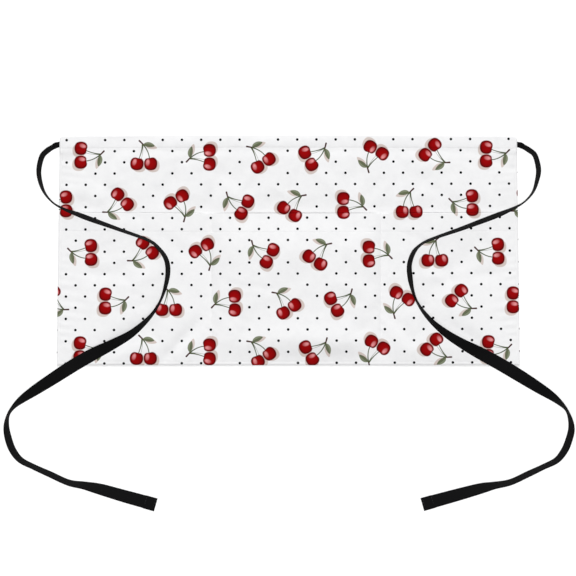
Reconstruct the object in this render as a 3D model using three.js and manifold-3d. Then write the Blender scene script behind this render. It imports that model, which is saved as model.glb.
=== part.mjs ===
// A waist apron of printed cotton, lying face up on a flat surface with its two tape ties loose.
// A pocket panel as wide as the apron is sewn over the lower two thirds, and two seams split it
// into three pockets that stand a little open. Each tie is a flat tape sewn behind an upper corner.
// Millimetres, +X to the right, +Y up the apron to the waist, +Z out of its face. The origin is
// the centre of the apron's underside.
import * as THREE from "three";
import Module from "manifold-3d";
import { mergeVertices } from "three/addons/utils/BufferGeometryUtils.js";

// Cloth: one wall, and the seams that join two layers.
const clothWall = 1.0;
const seamGap = 0.3;

// The back panel, as wide and as high as the apron.
const panelWidth = 610;
const panelHeight = 305;
const sideFlare = 2;
const waistBow = 1.5;
const cornerRadius = 5;

// Turned hems stand above the single cloth beside them.
const hemRise = 0.8;
const hemEase = 1.5;
const waistHem = 18.5;
const sideHem = 7;

// The pocket panel and the two seams that divide it, as they lie left and right of the middle.
const pocketDepth = 203;
const pocketHem = 26;
const mouthDip = 1.6;
const leftSeamX = -102;
const rightSeamX = 123;
const sideSeamInset = 3.5;
const seamEase = 12;

// How far each pocket stands open at its mouth, above its seams.
const leftPocketRise = 8;
const middlePocketRise = 9;
const rightPocketRise = 8;

// The tape of both ties, and how far its sewn end reaches in behind the corner.
const tapeWidth = 16;
const tapeWall = 1.0;
const tapeGap = 0.3;
const seatLength = 22;
const seatTopMargin = 1.6;
const seatEase = 4;
const seatExit = 2.5;
const tieEndHem = 15;
const tieHemStep = 1;

// The furthest apart that two grid lines of each panel lie, the steps between two points of a
// tie's route, and the places in each step where the cloth under it is looked up.
const panelStep = 24;
const pocketStep = 15;
const stepsPerSpan = 2;
const restSamples = 4;

const halfHeight = panelHeight / 2;
const mouthY = -halfHeight + pocketDepth;
const seatY = halfHeight - waistBow - seatTopMargin - tapeWidth / 2;
const seatDepth = tapeWall + tapeGap;

// Soft folds of the back panel above the pockets. Lengths are shares of the half width and of
// the height, and rise is a share of the cloth's wall.
const panelFolds = [
  { across: -0.8, up: 0.9, long: 0.06, wide: 0.035, turn: 40, rise: 0.9 },
  { across: -0.52, up: 0.83, long: 0.07, wide: 0.045, turn: 62, rise: 1.1 },
  { across: -0.2, up: 0.8, long: 0.08, wide: 0.05, turn: -70, rise: 0.9 },
  { across: 0.3, up: 0.82, long: 0.08, wide: 0.05, turn: 75, rise: 0.9 },
  { across: 0.62, up: 0.8, long: 0.07, wide: 0.045, turn: -35, rise: 1.1 },
  { across: 0.88, up: 0.87, long: 0.05, wide: 0.035, turn: -60, rise: 0.9 },
];

// Folds of the pocket panel. Lengths are shares of the half width and of the pocket's depth.
const pocketFolds = [
  { across: -0.69, up: 0.13, long: 0.2, wide: 0.055, turn: 52, rise: 2.2 },
  { across: -0.83, up: 0.5, long: 0.12, wide: 0.05, turn: -12, rise: 1.3 },
  { across: -0.42, up: 0.3, long: 0.3, wide: 0.07, turn: 78, rise: 1.0 },
  { across: 0.06, up: 0.12, long: 0.22, wide: 0.06, turn: 6, rise: 1.4 },
  { across: 0.58, up: 0.6, long: 0.24, wide: 0.075, turn: 48, rise: 1.8 },
  { across: 0.83, up: 0.5, long: 0.13, wide: 0.05, turn: 14, rise: 1.3 },
  { across: 0.52, up: 0.16, long: 0.16, wide: 0.06, turn: -40, rise: 1.3 },
];

// Each tie's route over the surface, chosen by hand, from the sewn end to the free end. roll turns
// the tape about its own line: 0 and 180 lie flat, 90 stands on edge, and between them the upper
// edge leans to the inside (under 90) or the outside (over 90) of the tie's first bend.
const leftRoute = [
  { x: -317, y: 136.5, roll: 48 },
  { x: -326, y: 124, roll: 72 },
  { x: -330, y: 106, roll: 73 },
  { x: -328.5, y: 90, roll: 78 },
  { x: -322, y: 75, roll: 85 },
  { x: -311, y: 62.5, roll: 92 },
  { x: -296, y: 54, roll: 97 },
  { x: -279, y: 47.5, roll: 106 },
  { x: -262, y: 41, roll: 112 },
  { x: -223, y: 27, roll: 103 },
  { x: -185, y: 13, roll: 96 },
  { x: -171, y: 2, roll: 100 },
  { x: -162, y: -12, roll: 108 },
  { x: -159.5, y: -28, roll: 110 },
  { x: -162.5, y: -47, roll: 105 },
  { x: -169, y: -66, roll: 97 },
  { x: -179, y: -83.5, roll: 100 },
  { x: -193, y: -98.5, roll: 113 },
  { x: -211, y: -112, roll: 123 },
  { x: -236, y: -126.5, roll: 143 },
  { x: -258, y: -137.5, roll: 170 },
  { x: -285, y: -153, roll: 180 },
  { x: -312, y: -169.5, roll: 174 },
  { x: -335, y: -184.5, roll: 148 },
  { x: -353, y: -197, roll: 125 },
  { x: -364, y: -207, roll: 105 },
  { x: -370.5, y: -218, roll: 88 },
  { x: -373, y: -232, roll: 69 },
  { x: -371, y: -247, roll: 64 },
  { x: -365, y: -264, roll: 67 },
  { x: -354, y: -277, roll: 64 },
  { x: -337, y: -286, roll: 70 },
  { x: -315.5, y: -296.5, roll: 66 },
  { x: -291, y: -307.5, roll: 67 },
  { x: -270, y: -311.5, roll: 54 },
  { x: -249, y: -316.5, roll: 34 },
  { x: -220, y: -325, roll: 10 },
  { x: -190, y: -333, roll: 0 },
];
const rightRoute = [
  { x: 316, y: 137, roll: 50 },
  { x: 326.5, y: 126, roll: 72 },
  { x: 331, y: 107, roll: 70 },
  { x: 329.5, y: 92, roll: 75 },
  { x: 324, y: 76, roll: 83 },
  { x: 313, y: 63.5, roll: 92 },
  { x: 299, y: 56, roll: 98 },
  { x: 281, y: 48, roll: 110 },
  { x: 263, y: 41, roll: 110 },
  { x: 228, y: 28, roll: 101 },
  { x: 188, y: 14, roll: 95 },
  { x: 174, y: 6.5, roll: 97 },
  { x: 165, y: -4, roll: 102 },
  { x: 161, y: -20, roll: 109 },
  { x: 161.5, y: -37, roll: 107 },
  { x: 165, y: -54, roll: 102 },
  { x: 171, y: -67.5, roll: 97 },
  { x: 180, y: -81.5, roll: 101 },
  { x: 193, y: -95.5, roll: 108 },
  { x: 211, y: -110.5, roll: 124 },
  { x: 232, y: -124, roll: 140 },
  { x: 254.5, y: -136, roll: 170 },
  { x: 281, y: -150, roll: 180 },
  { x: 308, y: -167, roll: 180 },
  { x: 334, y: -182.5, roll: 165 },
  { x: 350, y: -193.5, roll: 133 },
  { x: 362, y: -203.5, roll: 112 },
  { x: 370, y: -212.5, roll: 96 },
  { x: 374, y: -225, roll: 78 },
  { x: 374.5, y: -238, roll: 68 },
  { x: 371.5, y: -252, roll: 62 },
  { x: 365.5, y: -265, roll: 64 },
  { x: 354.5, y: -277.5, roll: 63 },
  { x: 337, y: -287, roll: 71 },
  { x: 318, y: -296, roll: 68 },
  { x: 294, y: -307, roll: 65 },
  { x: 272, y: -311.5, roll: 50 },
  { x: 254.5, y: -315.5, roll: 28 },
  { x: 224, y: -324, roll: 8 },
  { x: 192, y: -333, roll: 0 },
];

const wasm = await Module();
wasm.setup();

const clothPaint = new THREE.MeshStandardMaterial({
  color: 0xf2f2f0,
  roughness: 0.85,
  metalness: 0,
});
const tapePaint = new THREE.MeshStandardMaterial({
  color: 0x151516,
  roughness: 0.8,
  metalness: 0,
});

function smoothStep(from, to, value) {
  const t = THREE.MathUtils.clamp((value - from) / (to - from), 0, 1);
  return t * t * (3 - 2 * t);
}

// The apron's outline: half its width at a height, and the height of its waist edge.
function halfWidthAt(y) {
  return panelWidth / 2 - (sideFlare * y) / halfHeight;
}

function waistEdgeAt(share) {
  return halfHeight - waistBow * share * share;
}

function mouthEdgeAt(share) {
  return mouthY - mouthDip * (1 - share * share);
}

// 1 on a turned hem of this depth, easing to 0 inside it. inward is the distance from the edge.
function hemShare(inward, depth) {
  return 1 - smoothStep(depth - hemEase, depth + hemEase, inward);
}

// The height of one fold's smooth ridge at a point.
function foldHeight(fold, x, y, spanY, floorY) {
  const turn = THREE.MathUtils.degToRad(fold.turn);
  const dx = x - (fold.across * panelWidth) / 2;
  const dy = y - (floorY + fold.up * spanY);
  const along = dx * Math.cos(turn) + dy * Math.sin(turn);
  const off = dy * Math.cos(turn) - dx * Math.sin(turn);
  const spread = (along / (fold.long * spanY)) ** 2 + (off / (fold.wide * spanY)) ** 2;
  return fold.rise * clothWall * Math.exp(-spread);
}

function foldsHeight(folds, x, y, spanY, floorY) {
  return folds.reduce((sum, fold) => sum + foldHeight(fold, x, y, spanY, floorY), 0);
}

// The back panel's underside lifts only in its folds above the pockets, and lies flat at its edges.
function panelUnder(x, y) {
  const side = halfWidthAt(y) - Math.abs(x);
  const free =
    smoothStep(mouthY, mouthY + pocketHem, y) *
    smoothStep(sideHem, sideHem + 2 * seatLength, side) *
    smoothStep(waistHem, 2 * waistHem, halfHeight - y);
  return free * foldsHeight(panelFolds, x, y, panelHeight, -halfHeight);
}

// The corner swells where it covers the sewn end of a tie.
function seatRise(x, y) {
  const inner = halfWidthAt(y) - seatLength - seatEase;
  const lower = seatY - tapeWidth / 2 - seatEase;
  const across = smoothStep(inner - seatEase, inner + seatEase / 2, Math.abs(x));
  return seatDepth * across * smoothStep(lower - seatEase / 2, lower + seatEase / 2, y);
}

function panelTop(x, y) {
  const side = halfWidthAt(y) - Math.abs(x);
  const waist = waistEdgeAt(x / halfWidthAt(y)) - y;
  const hem = Math.max(hemShare(side, sideHem), hemShare(waist, waistHem));
  return panelUnder(x, y) + clothWall + hemRise * hem + seatRise(x, y);
}

const pockets = [
  { from: -(panelWidth / 2 - sideSeamInset), to: leftSeamX, rise: leftPocketRise },
  { from: leftSeamX, to: rightSeamX, rise: middlePocketRise },
  { from: rightSeamX, to: panelWidth / 2 - sideSeamInset, rise: rightPocketRise },
];

// How far the pocket panel stands off the back panel: nothing at its seams, most at the mouths.
function pocketStandoff(x, y) {
  const up = THREE.MathUtils.clamp((y + halfHeight) / pocketDepth, 0, 1);
  const held = pockets.find((p) => x >= p.from && x <= p.to);
  if (!held) return 0;
  const t = (2 * (x - held.from)) / (held.to - held.from) - 1;
  const across = 1 - t ** 4;
  const rising = 1 - (1 - up) ** 3;
  const folds = foldsHeight(pocketFolds, x, y, pocketDepth, -halfHeight);
  return held.rise * across * rising + folds * Math.min(1, 2 * across) * Math.min(1, 6 * up);
}

function pocketUnder(x, y) {
  return panelTop(x, y) + seamGap + pocketStandoff(x, y);
}

function pocketTop(x, y) {
  const below = mouthEdgeAt(x / halfWidthAt(y)) - y;
  return pocketUnder(x, y) + clothWall + hemRise * hemShare(below, pocketHem);
}

// Grid lines through all the stops, with no two further apart than step.
function gridLines(stops, step) {
  const sorted = [...stops].sort((a, b) => a - b);
  const lines = [sorted[0]];
  for (let i = 1; i < sorted.length; i += 1) {
    const from = sorted[i - 1];
    const count = Math.max(1, Math.ceil((sorted[i] - from) / step));
    for (let k = 1; k <= count; k += 1) lines.push(from + ((sorted[i] - from) * k) / count);
  }
  return lines;
}

// A geometry of triangles over points, as flat lists.
function geometryOf(points, triangles) {
  const geometry = new THREE.BufferGeometry();
  geometry.setAttribute("position", new THREE.Float32BufferAttribute(points, 3));
  geometry.setIndex(triangles);
  return geometry;
}

// A closed sheet over a grid. place gives a point in plan, and under and over its two faces.
function sheetGeometry(columns, rows, place, under, over) {
  const points = [];
  const triangles = [];
  for (const face of [under, over]) {
    for (const row of rows) {
      for (const column of columns) {
        const { x, y } = place(column, row);
        points.push(x, y, face(x, y));
      }
    }
  }
  const layer = columns.length * rows.length;
  const at = (face, i, j) => face * layer + j * columns.length + i;
  const quad = (a, b, c, d) => triangles.push(a, b, c, a, c, d);
  const lastColumn = columns.length - 1;
  const lastRow = rows.length - 1;
  for (let j = 0; j < lastRow; j += 1) {
    for (let i = 0; i < lastColumn; i += 1) {
      quad(at(0, i, j), at(0, i, j + 1), at(0, i + 1, j + 1), at(0, i + 1, j));
      quad(at(1, i, j), at(1, i + 1, j), at(1, i + 1, j + 1), at(1, i, j + 1));
    }
    quad(at(0, 0, j), at(1, 0, j), at(1, 0, j + 1), at(0, 0, j + 1));
    quad(at(0, lastColumn, j), at(0, lastColumn, j + 1), at(1, lastColumn, j + 1), at(1, lastColumn, j));
  }
  for (let i = 0; i < lastColumn; i += 1) {
    quad(at(0, i, 0), at(0, i + 1, 0), at(1, i + 1, 0), at(1, i, 0));
    quad(at(0, i, lastRow), at(1, i, lastRow), at(1, i + 1, lastRow), at(0, i + 1, lastRow));
  }
  return geometryOf(points, triangles);
}

// Places a share across and a share up in plan, between a lower and an upper edge.
function placer(lowerAt, upperAt, roundedTop) {
  return (across, up) => {
    const y = lowerAt(across) + (upperAt(across) - lowerAt(across)) * up;
    const x = across * halfWidthAt(y);
    const corner = roundedTop && up === 1 && Math.abs(across) === 1;
    const inset = corner ? cornerRadius * (1 - Math.SQRT1_2) : 0;
    return { x: x - Math.sign(across) * inset, y: y - inset };
  };
}

// Column stops that both panels share, as shares of the half width.
function columnStops() {
  const half = panelWidth / 2;
  const seams = [leftSeamX, rightSeamX].flatMap((x) => [x - seamEase, x, x + seamEase]);
  const edge = half - sideSeamInset;
  const hems = [edge, half - sideHem + hemEase, half - sideHem - hemEase, half - 2 * seamEase];
  return [...hems.flatMap((x) => [-x, x]), ...seams, -half, half].map((x) => x / half);
}

function panelGeometry() {
  const half = panelWidth / 2;
  const seatLines = [seatLength + seatEase / 2, seatLength + 2 * seatEase].map((x) => 1 - x / half);
  const columnLines = [...columnStops(), ...seatLines, ...seatLines.map((x) => -x)];
  const columns = gridLines(columnLines, panelStep / half);
  const seatFoot = halfHeight - (seatY - tapeWidth / 2 - seatEase);
  const hemLines = [waistHem - hemEase, waistHem + hemEase];
  const footLines = [seatFoot - seatEase / 2, seatFoot + seatEase / 2];
  const rowLines = [...hemLines, ...footLines].map((depth) => 1 - depth / panelHeight);
  const rows = gridLines([0, 1, pocketDepth / panelHeight, ...rowLines], panelStep / panelHeight);
  const place = placer(() => -halfHeight, waistEdgeAt, true);
  return sheetGeometry(columns, rows, place, panelUnder, panelTop);
}

function pocketGeometry() {
  const half = panelWidth / 2;
  const columns = gridLines(columnStops(), pocketStep / half);
  const hemLines = [pocketHem - hemEase, pocketHem + hemEase].map((d) => 1 - d / pocketDepth);
  const rows = gridLines([0, 1, ...hemLines], pocketStep / pocketDepth);
  const place = placer(() => -halfHeight, mouthEdgeAt, false);
  return sheetGeometry(columns, rows, place, pocketUnder, pocketTop);
}

// The highest cloth under a point, or 0 beside the apron.
function clothHeight(x, y) {
  const share = x / halfWidthAt(y);
  const beside = Math.abs(share) > 1 || y < -halfHeight || y > waistEdgeAt(share);
  if (beside) return 0;
  return (y <= mouthEdgeAt(share) ? pocketTop(x, y) : panelTop(x, y)) + tapeGap;
}

// The stations of a tie: its sewn end, a smooth curve through its route and its turned free end.
function tieStations(side, route) {
  const edge = side * halfWidthAt(seatY);
  const sewn = { x: edge - side * seatLength, y: seatY, roll: 0, headX: side, headY: 0, sewn: true };
  const exit = { ...sewn, x: edge + side * seatExit };
  const corners = [sewn, exit, ...route].map(({ x, y, roll }) => new THREE.Vector3(x, y, roll));
  const curve = new THREE.CatmullRomCurve3(corners, false, "catmullrom");
  const spans = corners.length - 1;
  const lying = [];
  for (let k = stepsPerSpan + 1; k <= spans * stepsPerSpan; k += 1) {
    const t = k / (spans * stepsPerSpan);
    const point = curve.getPoint(t);
    const head = curve.getTangent(t).setZ(0).normalize();
    lying.push({ x: point.x, y: point.y, roll: point.z, headX: head.x, headY: head.y, layers: 1 });
  }
  const last = lying[lying.length - 1];
  const beyond = (length) => ({
    ...last,
    x: last.x + last.headX * length,
    y: last.y + last.headY * length,
    layers: 2,
  });
  return [{ ...sewn, layers: 1 }, { ...exit, layers: 1 }, ...lying, beyond(tieHemStep), beyond(tieEndHem)];
}

// The highest cloth under the tape between one station and the next.
function heightUnder(from, to) {
  const heading = Math.atan2(to.y - from.y, to.x - from.x);
  let highest = 0;
  for (let k = 0; k <= restSamples; k += 1) {
    const t = k / restSamples;
    const x = THREE.MathUtils.lerp(from.x, to.x, t);
    const y = THREE.MathUtils.lerp(from.y, to.y, t);
    const roll = THREE.MathUtils.degToRad(THREE.MathUtils.lerp(from.roll, to.roll, t));
    const reach = (tapeWidth / 2) * Math.abs(Math.cos(roll)) + tapeWall / 2;
    for (const across of [-1, -0.5, 0, 0.5, 1]) {
      const offX = -Math.sin(heading) * reach * across;
      const offY = Math.cos(heading) * reach * across;
      highest = Math.max(highest, clothHeight(x + offX, y + offY));
    }
  }
  return highest;
}

// A flat tape lofted through its stations, each resting on the highest cloth beside it.
function tieGeometry(side, route) {
  const stations = tieStations(side, route);
  const points = [];
  const triangles = [];
  stations.forEach((station, i) => {
    const before = stations[Math.max(i - 1, 0)];
    const after = stations[Math.min(i + 1, stations.length - 1)];
    const along = new THREE.Vector3(station.headX, station.headY, 0);
    const inward = new THREE.Vector3(along.y * side, -along.x * side, 0);
    const roll = THREE.MathUtils.degToRad(station.roll);
    const across = inward.multiplyScalar(Math.cos(roll)).setZ(Math.sin(roll));
    const normal = new THREE.Vector3().crossVectors(along, across);
    const halfWall = (tapeWall * station.layers) / 2;
    const support = station.sewn
      ? 0
      : Math.max(heightUnder(before, station), heightUnder(station, after));
    const lift = (tapeWidth / 2) * Math.abs(across.z) + halfWall * Math.abs(normal.z);
    const centre = new THREE.Vector3(station.x, station.y, support + lift);
    for (const [w, n] of [[-1, -1], [1, -1], [1, 1], [-1, 1]]) {
      const corner = centre.clone().addScaledVector(across, (w * tapeWidth) / 2);
      points.push(...corner.addScaledVector(normal, n * halfWall));
    }
  });
  // The two wide faces are split along the same diagonal, so that they stay apart where they twist.
  for (let i = 0; i < stations.length - 1; i += 1) {
    for (let k = 0; k < 4; k += 1) {
      const [a, b] = [4 * i + k, 4 * i + ((k + 1) % 4)];
      if (k < 2) triangles.push(a, b, b + 4, a, b + 4, a + 4);
      else triangles.push(a, b, a + 4, b, b + 4, a + 4);
    }
  }
  const end = 4 * (stations.length - 1);
  triangles.push(0, 3, 2, 0, 2, 1, end, end + 1, end + 2, end, end + 2, end + 3);
  return geometryOf(points, triangles);
}

// three.js geometry to a manifold solid and back, with its faces pointing out.
function solidOf(geometry) {
  const bare = geometry.clone();
  bare.deleteAttribute("normal");
  bare.deleteAttribute("uv");
  const merged = mergeVertices(bare);
  const made = new wasm.Manifold(
    new wasm.Mesh({
      numProp: 3,
      vertProperties: new Float32Array(merged.getAttribute("position").array),
      triVerts: new Uint32Array(merged.getIndex().array),
    }),
  );
  if (made.volume() > 0) return made;
  const turned = Array.from(merged.getIndex().array);
  for (let i = 0; i < turned.length; i += 3) {
    [turned[i + 1], turned[i + 2]] = [turned[i + 2], turned[i + 1]];
  }
  return solidOf(geometryOf(Array.from(merged.getAttribute("position").array), turned));
}

function meshOf(name, solid, material) {
  const { vertProperties, triVerts, numProp } = solid.getMesh();
  const points = [];
  for (let i = 0; i < vertProperties.length; i += numProp) {
    points.push(vertProperties[i], vertProperties[i + 1], vertProperties[i + 2]);
  }
  const geometry = geometryOf(points, Array.from(triVerts)).toNonIndexed();
  geometry.computeVertexNormals();
  const mesh = new THREE.Mesh(geometry, material);
  mesh.name = name;
  return mesh;
}

// The space behind an upper corner where the sewn end of a tie lies.
function seatSolid(side) {
  const outer = 2 * sideHem;
  const length = seatLength + tapeGap + outer;
  const block = new THREE.BoxGeometry(length, tapeWidth + 2 * tapeGap, 2 * seatDepth);
  const inner = halfWidthAt(seatY) - seatLength - tapeGap;
  block.translate(side * (inner + length / 2), seatY, 0);
  return solidOf(block);
}

const apron = new THREE.Group();
const backPanel = solidOf(panelGeometry()).subtract(seatSolid(-1)).subtract(seatSolid(1));
apron.add(meshOf("back_panel", backPanel, clothPaint));
apron.add(meshOf("pocket_panel", solidOf(pocketGeometry()), clothPaint));
apron.add(meshOf("tie_left", solidOf(tieGeometry(-1, leftRoute)), tapePaint));
apron.add(meshOf("tie_right", solidOf(tieGeometry(1, rightRoute)), tapePaint));

export default apron;
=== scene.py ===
from math import ceil, cos, hypot, pi, radians, sin

import bpy
import numpy as np
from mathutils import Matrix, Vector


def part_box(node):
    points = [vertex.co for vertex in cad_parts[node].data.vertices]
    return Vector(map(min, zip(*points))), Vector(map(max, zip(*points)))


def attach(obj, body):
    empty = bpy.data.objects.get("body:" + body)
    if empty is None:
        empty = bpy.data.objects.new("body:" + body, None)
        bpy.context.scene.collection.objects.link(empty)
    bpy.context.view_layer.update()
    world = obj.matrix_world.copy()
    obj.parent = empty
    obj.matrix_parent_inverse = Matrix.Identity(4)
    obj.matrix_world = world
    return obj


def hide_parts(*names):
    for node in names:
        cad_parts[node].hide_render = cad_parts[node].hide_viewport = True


# A cotton waist apron with two tape ties, lying face up on a white table and seen from straight
# above. Lengths are metres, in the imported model's own frame.

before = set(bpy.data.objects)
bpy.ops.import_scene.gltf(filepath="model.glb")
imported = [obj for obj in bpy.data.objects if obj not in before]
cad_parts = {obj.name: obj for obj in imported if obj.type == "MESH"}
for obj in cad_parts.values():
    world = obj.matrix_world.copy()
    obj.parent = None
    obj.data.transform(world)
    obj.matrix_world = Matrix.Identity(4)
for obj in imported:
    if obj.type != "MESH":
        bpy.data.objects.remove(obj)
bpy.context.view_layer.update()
mm = 0.001
fullTurn = 2 * pi
print("frame loaded")


def metres(lengths):
    return {name: value * mm for name, value in lengths.items()}


# Camera: straight down, so far up that it has hardly any perspective.
view = {
    "pixels": 576,
    "metresPerPixel": 0.0013255,
    "centrePixel": (288.3, 250.2),  # where the middle of the cloth lies in the picture
    "lens": 200,
    "sensor": 36,
}


def addObject(name, data):
    made = bpy.data.objects.new(name, data)
    bpy.context.scene.collection.objects.link(made)
    return made


def makeCamera():
    width = view["pixels"] * view["metresPerPixel"]
    cameraData = bpy.data.cameras.new("camera")
    cameraData.lens = view["lens"]
    cameraData.sensor_width = view["sensor"]
    camera = addObject("camera", cameraData)
    middle = view["pixels"] / 2
    x = (middle - view["centrePixel"][0]) * view["metresPerPixel"]
    y = (view["centrePixel"][1] - middle) * view["metresPerPixel"]
    camera.location = (x, y, width * view["lens"] / view["sensor"])
    bpy.context.scene.camera = camera


makeCamera()
print("camera placed")

# The cloth's outline and construction, read from the frame where the frame has it.
backLow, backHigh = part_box("back_panel")
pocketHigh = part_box("pocket_panel")[1]
apron = metres({
    "sideFlare": 2, "waistBow": 1.5, "mouthDip": 1.6, "cornerRadius": 5,
    "clothTop": 1.05,  # face of the single back cloth above the table
    "clothWall": 0.55,
    "float": 1.3,  # how far the slack cloth above the pockets lies off the table
    "valley": 0.4, "hemPuff": 0.42, "tableGap": 0.05, "hemRise": 0.14, "hemDrop": 0.35,
    "hemEase": 1.6,
    "liftFade": 6,  # within this of an edge the folds die out
    "bareFrom": -3,  # between these heights above the mouth the rumples begin
    "bareTo": 8, "edgeRound": 2.2, "edgeDroop": 0.6, "waistHem": 18, "slackBelow": 30.6,
    "pocketHem": 26, "sideHem": 7, "seamGap": 0.3, "sideSeam": 3.5, "leftSeam": -102,
    "rightSeam": 123,
})
halfHeight = (backHigh[1] - backLow[1]) / 2
mouthY = pocketHigh[1]
halfWidth = (backHigh[0] - backLow[0]) / 2 - apron["sideFlare"]
dividers = (apron["leftSeam"], apron["rightSeam"])

# The shallow seat behind each upper corner, where a tie is sewn on with a rectangle of stitches.
seat = metres({
    "length": 22,
    "drop": 11.1,  # from the waist edge down to the middle of the tape
    "depth": 1.3, "ease": 4, "gap": 0.3, "stitchOuter": 8.5, "stitchInner": 19.5,
    "stitchLow": 6, "stitchHigh": 5.5, "bottom": 0.05,
})

tape = metres({
    "width": 17.2, "wall": 0.9, "exit": 1, "gatherReach": 11, "endHem": 15, "endFade": 0.5,
    "endFadeOut": 2.5, "endWider": 0.35, "station": 2.4, "clearance": 0.2,
})
# shares of the tape's own sizes, and counts of points
tapeShare = {"gather": 0.58, "gatherInside": 0.5, "endThicker": 1.8, "row": 0.42}
tapeCount = {"bends": 12, "across": 9, "support": 3}
endRows = (1.6 * mm, 13.2 * mm)  # two rows of stitches, from the free end
seatY = halfHeight - apron["waistBow"] - seat["drop"]

# Soft folds: where (x, y), half length, half width, turn in degrees, and rise, in millimetres.
# A fold with a rise below 0 is a valley.
backFolds = [
    (-244, 116, 24, 10, 40, -1.2), (-159, 92, 26, 12, 62, -1.2), (-61, 91, 24, 15, -70, -1.0),
    (92, 98, 24, 15, 75, -1.0), (189, 84, 26, 12, -35, -1.2), (268, 93, 20, 10, -60, -1.1),
]
waistFolds = [
    (-122, 123, 32, 4.5, 16, -1.0), (-292, 119, 15, 4, 3, -0.8), (266, 121, 28, 4.5, -18, -1.0),
    (-196, 125, 20, 5, 24, -0.8), (30, 124, 30, 6, 8, -0.6), (186, 124, 22, 5, -22, -0.8),
    (292, 109, 14, 4, -12, -0.7),
]
pocketFolds = [
    (-141, -120, 36, 9, 48, -3.0), (-253, -31, 30, 8, -5, -1.4), (-216, -118, 44, 13, 31, -3.4),
    (221, -26, 40, 13, 48, -2.2), (257, -33, 30, 8, 6, -1.3), (238, -116, 44, 13, -31, -3.2),
    (-160, 2, 40, 14, 70, 0.9), (159, -118, 30, 11, -52, -1.7), (36, -119, 80, 20, 0, 3.2),
    (-60, -110, 28, 9, 58, -1.3), (92, -104, 28, 9, -62, -1.3),
]


def ramp(low, high, value):
    t = np.clip((value - low) / (high - low), 0, 1)
    return t * t * (3 - 2 * t)


def halfWidthAt(y):
    return halfWidth - apron["sideFlare"] * y / halfHeight


seatEdge = halfWidthAt(seatY)


def waistEdgeAt(share):
    # the waist edge bows, and its corners are rounded
    radius = apron["cornerRadius"]
    inset = np.clip(radius - (1 - np.abs(share)) * halfWidth, 0, radius)
    return waistLineAt(share) - (radius - np.sqrt(np.maximum(radius ** 2 - inset ** 2, 0)))


def waistLineAt(share):
    return halfHeight - apron["waistBow"] * share ** 2


def mouthEdgeAt(share):
    return mouthY - apron["mouthDip"] * (1 - share ** 2)


def lowerEdgeAt(share):
    return np.full_like(share, -halfHeight)


# how far a place lies inside each edge
def fromSide(x, y):
    return halfWidthAt(y) - np.abs(x)


def fromWaist(x, y):
    return waistLineAt(x / halfWidthAt(y)) - y


def fromMouth(x, y):
    return mouthEdgeAt(x / halfWidthAt(y)) - y


def fromLower(y):
    return y + halfHeight


def hemShare(inward, depth):
    return 1 - ramp(depth - apron["hemEase"], depth + apron["hemEase"], inward)


def turned(x, y, at, tilt):
    # a place measured along and across a line that is tilted about a point
    angle = radians(tilt)
    dx = x - at[0]
    dy = y - at[1]
    return dx * cos(angle) + dy * sin(angle), dy * cos(angle) - dx * sin(angle)


def foldsHeight(folds, x, y):
    total = np.zeros_like(x)
    for foldX, foldY, long, wide, turn, rise in folds:
        along, off = turned(x, y, (foldX * mm, foldY * mm), turn)
        spread = (along / (long * mm)) ** 2 + (off / (wide * mm)) ** 2
        total += rise * mm * np.exp(-spread)
    return total


# Small rumples all over each cloth, drawn once with a fixed seed.
rumple = {"count": 150, "across": (-305, 305), "long": (14, 46), "wide": (4, 10), "rise": 0.5}


def makeRumples(seed, lowY, highY):
    draw = np.random.default_rng(seed)
    made = []
    for _ in range(rumple["count"]):
        ranges = (rumple["across"], (lowY, highY), rumple["long"], rumple["wide"], (0, 180), (-1, 1))
        x, y, long, wide, turn, share = [draw.uniform(*limits) for limits in ranges]
        made.append((x, y, long, wide, turn, share * rumple["rise"] * wide / rumple["wide"][0]))
    return made


backRumples = makeRumples(11, 30, 150)
pocketRumples = makeRumples(23, -150, 55)

# Puckers beside a seam: slanted ripples that rise beside the stitches and fade away from them.
pucker = {
    "waist": {"rise": 0.55, "pitch": 6.6, "slant": 0.9, "reach": 5, "seed": 3},
    "mouth": {"rise": 0.2, "pitch": 9.0, "slant": 0.5, "reach": 6, "seed": 5},
    "side": {"rise": 1.3, "pitch": 12.5, "slant": 0.12, "reach": 26, "seed": 7},
    "divider": {"rise": 0.4, "pitch": 9.5, "slant": 0.6, "reach": 8, "seed": 9},
    "lower": {"rise": 0.4, "pitch": 9.5, "slant": 0.6, "reach": 7, "seed": 13},
    "waistShift": 3 * mm,  # how far from the stitches the ripples are highest
    "mouthShift": 2.5 * mm,
    "backSide": 0.5,  # how much of the side's puckers the back cloth has
}


def puckers(kind, along, off):
    p = pucker[kind]
    a = along / mm
    d = off / mm
    wander = 0.9 * np.sin(a / 17.0 + p["seed"]) + 0.7 * np.sin(a / 31.0 + 2.1 * p["seed"])
    wave = 0.5 + 0.5 * np.sin(fullTurn * (a + p["slant"] * d) / p["pitch"] + 2.6 * wander)
    strength = 0.5 + 0.5 * np.sin(a / 23.0 + 1.3 * p["seed"]) * np.sin(a / 61.0 + p["seed"])
    reach = p["reach"] * (1 + 0.35 * np.sin(a / 13.0 + p["seed"]))
    return p["rise"] * mm * wave * strength * np.exp(-(d / reach) ** 2)


def shallow(height, depth):
    # the same height, but with no valley deeper than depth
    return np.where(height < 0, -depth * np.tanh(-height / depth), height)


stitch = metres({
    "length": 2.5, "pitch": 3.1, "radius": 0.21,
    "rowInset": 1.2,  # how far rows keep from the edges that they run to
    "waistEnd": 5.5, "mouthEnd": 0.8, "seatMiss": 2, "lookAhead": 0.3, "waistInset": 16.6,
    "mouthInset": 25, "sideInset": 3.3, "lowerInset": 4.6, "grooveDepth": 0.28,
    "grooveWidth": 0.62, "grooveFade": 0.6,
})
stitchShape = {"sides": 6, "rise": 0.7, "sink": 0.1, "curveSteps": 200}
sideDeeper = 1.6  # how much deeper the side seams sink than the others


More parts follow.
